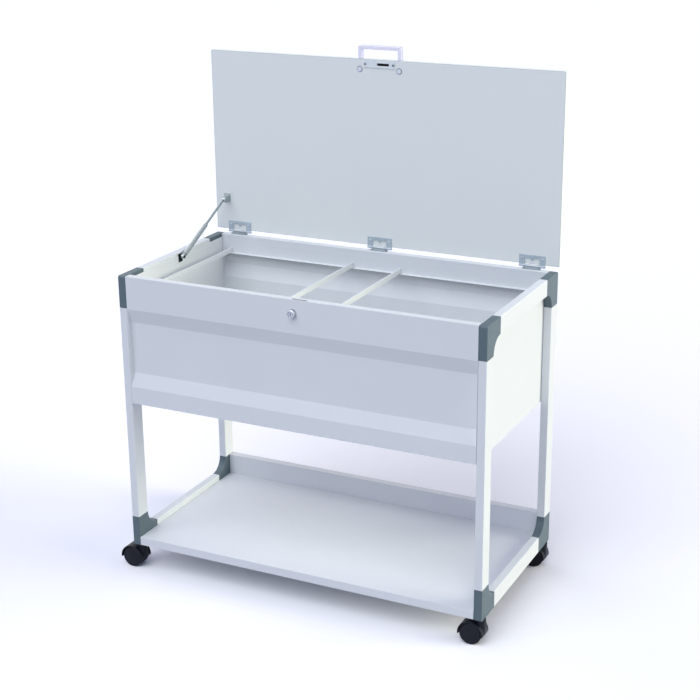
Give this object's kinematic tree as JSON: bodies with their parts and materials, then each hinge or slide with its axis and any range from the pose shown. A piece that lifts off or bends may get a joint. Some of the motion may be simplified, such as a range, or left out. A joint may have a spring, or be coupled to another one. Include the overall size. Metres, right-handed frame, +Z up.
{
  "type": "mobile file cart",
  "caption": "Rolling file cart: tube side frames on casters carry a hanging-file tub with a hinged lid, gas strut, bow handle and cam lock, above a low open shelf.",
  "frame": {"origin": "on the floor, under the middle of the box round the cart with its lid open", "axes": "+Z up, -Y towards the front with the lock, +X to the right seen from the front"},
  "size_m": [0.92, 0.46, 1.196],
  "materials": {
    "painted_steel": "fine-textured off-white powder coat",
    "knee_plastic": "slate grey moulded plastic",
    "caster_plastic": "black moulded plastic",
    "wheel_plastic": "near-black nylon with a satin face",
    "plated_steel": "zinc-plated steel",
    "chrome": "bright chrome",
    "lid_board": "off-white laminate on board"
  },
  "bodies": {
    "cart_frame": {"post_front_left": "painted_steel", "post_front_right": "painted_steel", "post_rear_left": "painted_steel", "post_rear_right": "painted_steel", "rail_low_left": "painted_steel", "rail_low_right": "painted_steel", "rail_top_left": "painted_steel", "rail_top_right": "painted_steel", "knee_low_front_left": "knee_plastic", "knee_low_front_right": "knee_plastic", "knee_low_rear_left": "knee_plastic", "knee_low_rear_right": "knee_plastic", "knee_top_front_left": "knee_plastic", "knee_top_front_right": "knee_plastic", "knee_top_rear_left": "knee_plastic", "knee_top_rear_right": "knee_plastic", "tub_front_panel": "painted_steel", "tub_rear_panel": "painted_steel", "tub_wall_left": "painted_steel", "tub_wall_right": "painted_steel", "tub_floor": "painted_steel", "hanging_rail_left_inner": "painted_steel", "hanging_rail_left_outer": "painted_steel", "hanging_rail_right_inner": "painted_steel", "hanging_rail_right_outer": "painted_steel", "shelf_tray": "painted_steel", "shelf_rear_stop": "painted_steel", "hinge_base_leaf_left": "plated_steel", "hinge_base_leaf_middle": "plated_steel", "hinge_base_leaf_right": "plated_steel", "strut_foot_bracket": "caster_plastic", "lock_barrel": "chrome"},
    "lid": {"lid_panel": "lid_board", "lid_handle": "plated_steel", "strike_plate": "plated_steel", "strut_lid_bracket": "plated_steel", "handle_fitting_left": "plated_steel", "handle_fitting_right": "plated_steel", "strike_screw_left": "plated_steel", "strike_screw_right": "plated_steel", "hinge_lid_leaf_left": "plated_steel", "hinge_lid_leaf_middle": "plated_steel", "hinge_lid_leaf_right": "plated_steel"},
    "strut_cylinder": {"strut_cylinder": "plated_steel"},
    "strut_rod": {"strut_rod": "chrome"},
    "lock": {"lock_plug": "plated_steel", "lock_cam": "plated_steel"},
    "caster_front_left": {"caster_fork_front_left": "caster_plastic"},
    "caster_wheel_front_left_front": {"caster_wheel_front_left_front": "wheel_plastic"},
    "caster_wheel_front_left_rear": {"caster_wheel_front_left_rear": "wheel_plastic"},
    "caster_front_right": {"caster_fork_front_right": "caster_plastic"},
    "caster_wheel_front_right_front": {"caster_wheel_front_right_front": "wheel_plastic"},
    "caster_wheel_front_right_rear": {"caster_wheel_front_right_rear": "wheel_plastic"},
    "caster_rear_left": {"caster_fork_rear_left": "caster_plastic"},
    "caster_wheel_rear_left_front": {"caster_wheel_rear_left_front": "wheel_plastic"},
    "caster_wheel_rear_left_rear": {"caster_wheel_rear_left_rear": "wheel_plastic"},
    "caster_rear_right": {"caster_fork_rear_right": "caster_plastic"},
    "caster_wheel_rear_right_front": {"caster_wheel_rear_right_front": "wheel_plastic"},
    "caster_wheel_rear_right_rear": {"caster_wheel_rear_right_rear": "wheel_plastic"}
  },
  "joints": [
    {"name": "lid_hinge", "type": "hinge", "parent": "cart_frame", "child": "lid", "pos_m": [0.0175, 0.214, 0.727], "axis": [1, 0, 0], "range_deg": [0, 90]},
    {"name": "strut_swing", "type": "hinge", "parent": "cart_frame", "child": "strut_cylinder", "pos_m": [-0.3927, 0.004, 0.712], "axis": [1, 0, 0], "range_deg": [-28.8, 0]},
    {"name": "strut_slide", "type": "slide", "parent": "strut_cylinder", "child": "strut_rod", "axis": [0, 0.893, 0.45], "range_m": [-0.0843, 0]},
    {"name": "lock_turn", "type": "hinge", "parent": "cart_frame", "child": "lock", "pos_m": [0.0175, -0.22, 0.691], "axis": [0, -1, 0], "range_deg": [0, 90]},
    {"name": "caster_front_left_swivel", "type": "hinge", "parent": "cart_frame", "child": "caster_front_left", "pos_m": [-0.413, -0.201, 0.025], "axis": [0, 0, 1], "continuous": true},
    {"name": "caster_wheel_front_left_front_roll", "type": "hinge", "parent": "caster_front_left", "child": "caster_wheel_front_left_front", "pos_m": [-0.431, -0.201, 0.025], "axis": [0, 1, 0], "continuous": true},
    {"name": "caster_wheel_front_left_rear_roll", "type": "hinge", "parent": "caster_front_left", "child": "caster_wheel_front_left_rear", "pos_m": [-0.431, -0.201, 0.025], "axis": [0, 1, 0], "continuous": true},
    {"name": "caster_front_right_swivel", "type": "hinge", "parent": "cart_frame", "child": "caster_front_right", "pos_m": [0.448, -0.201, 0.025], "axis": [0, 0, 1], "continuous": true},
    {"name": "caster_wheel_front_right_front_roll", "type": "hinge", "parent": "caster_front_right", "child": "caster_wheel_front_right_front", "pos_m": [0.43, -0.201, 0.025], "axis": [0, 1, 0], "continuous": true},
    {"name": "caster_wheel_front_right_rear_roll", "type": "hinge", "parent": "caster_front_right", "child": "caster_wheel_front_right_rear", "pos_m": [0.43, -0.201, 0.025], "axis": [0, 1, 0], "continuous": true},
    {"name": "caster_rear_left_swivel", "type": "hinge", "parent": "cart_frame", "child": "caster_rear_left", "pos_m": [-0.413, 0.196, 0.025], "axis": [0, 0, 1], "continuous": true},
    {"name": "caster_wheel_rear_left_front_roll", "type": "hinge", "parent": "caster_rear_left", "child": "caster_wheel_rear_left_front", "pos_m": [-0.431, 0.196, 0.025], "axis": [0, 1, 0], "continuous": true},
    {"name": "caster_wheel_rear_left_rear_roll", "type": "hinge", "parent": "caster_rear_left", "child": "caster_wheel_rear_left_rear", "pos_m": [-0.431, 0.196, 0.025], "axis": [0, 1, 0], "continuous": true},
    {"name": "caster_rear_right_swivel", "type": "hinge", "parent": "cart_frame", "child": "caster_rear_right", "pos_m": [0.448, 0.196, 0.025], "axis": [0, 0, 1], "continuous": true},
    {"name": "caster_wheel_rear_right_front_roll", "type": "hinge", "parent": "caster_rear_right", "child": "caster_wheel_rear_right_front", "pos_m": [0.43, 0.196, 0.025], "axis": [0, 1, 0], "continuous": true},
    {"name": "caster_wheel_rear_right_rear_roll", "type": "hinge", "parent": "caster_rear_right", "child": "caster_wheel_rear_right_rear", "pos_m": [0.43, 0.196, 0.025], "axis": [0, 1, 0], "continuous": true}
  ],
  "couplings": [
    {"joint": "strut_swing", "follows": "lid_hinge", "ratio": -0.31937},
    {"joint": "strut_slide", "follows": "lid_hinge", "m_per_rad": -0.053631}
  ]
}
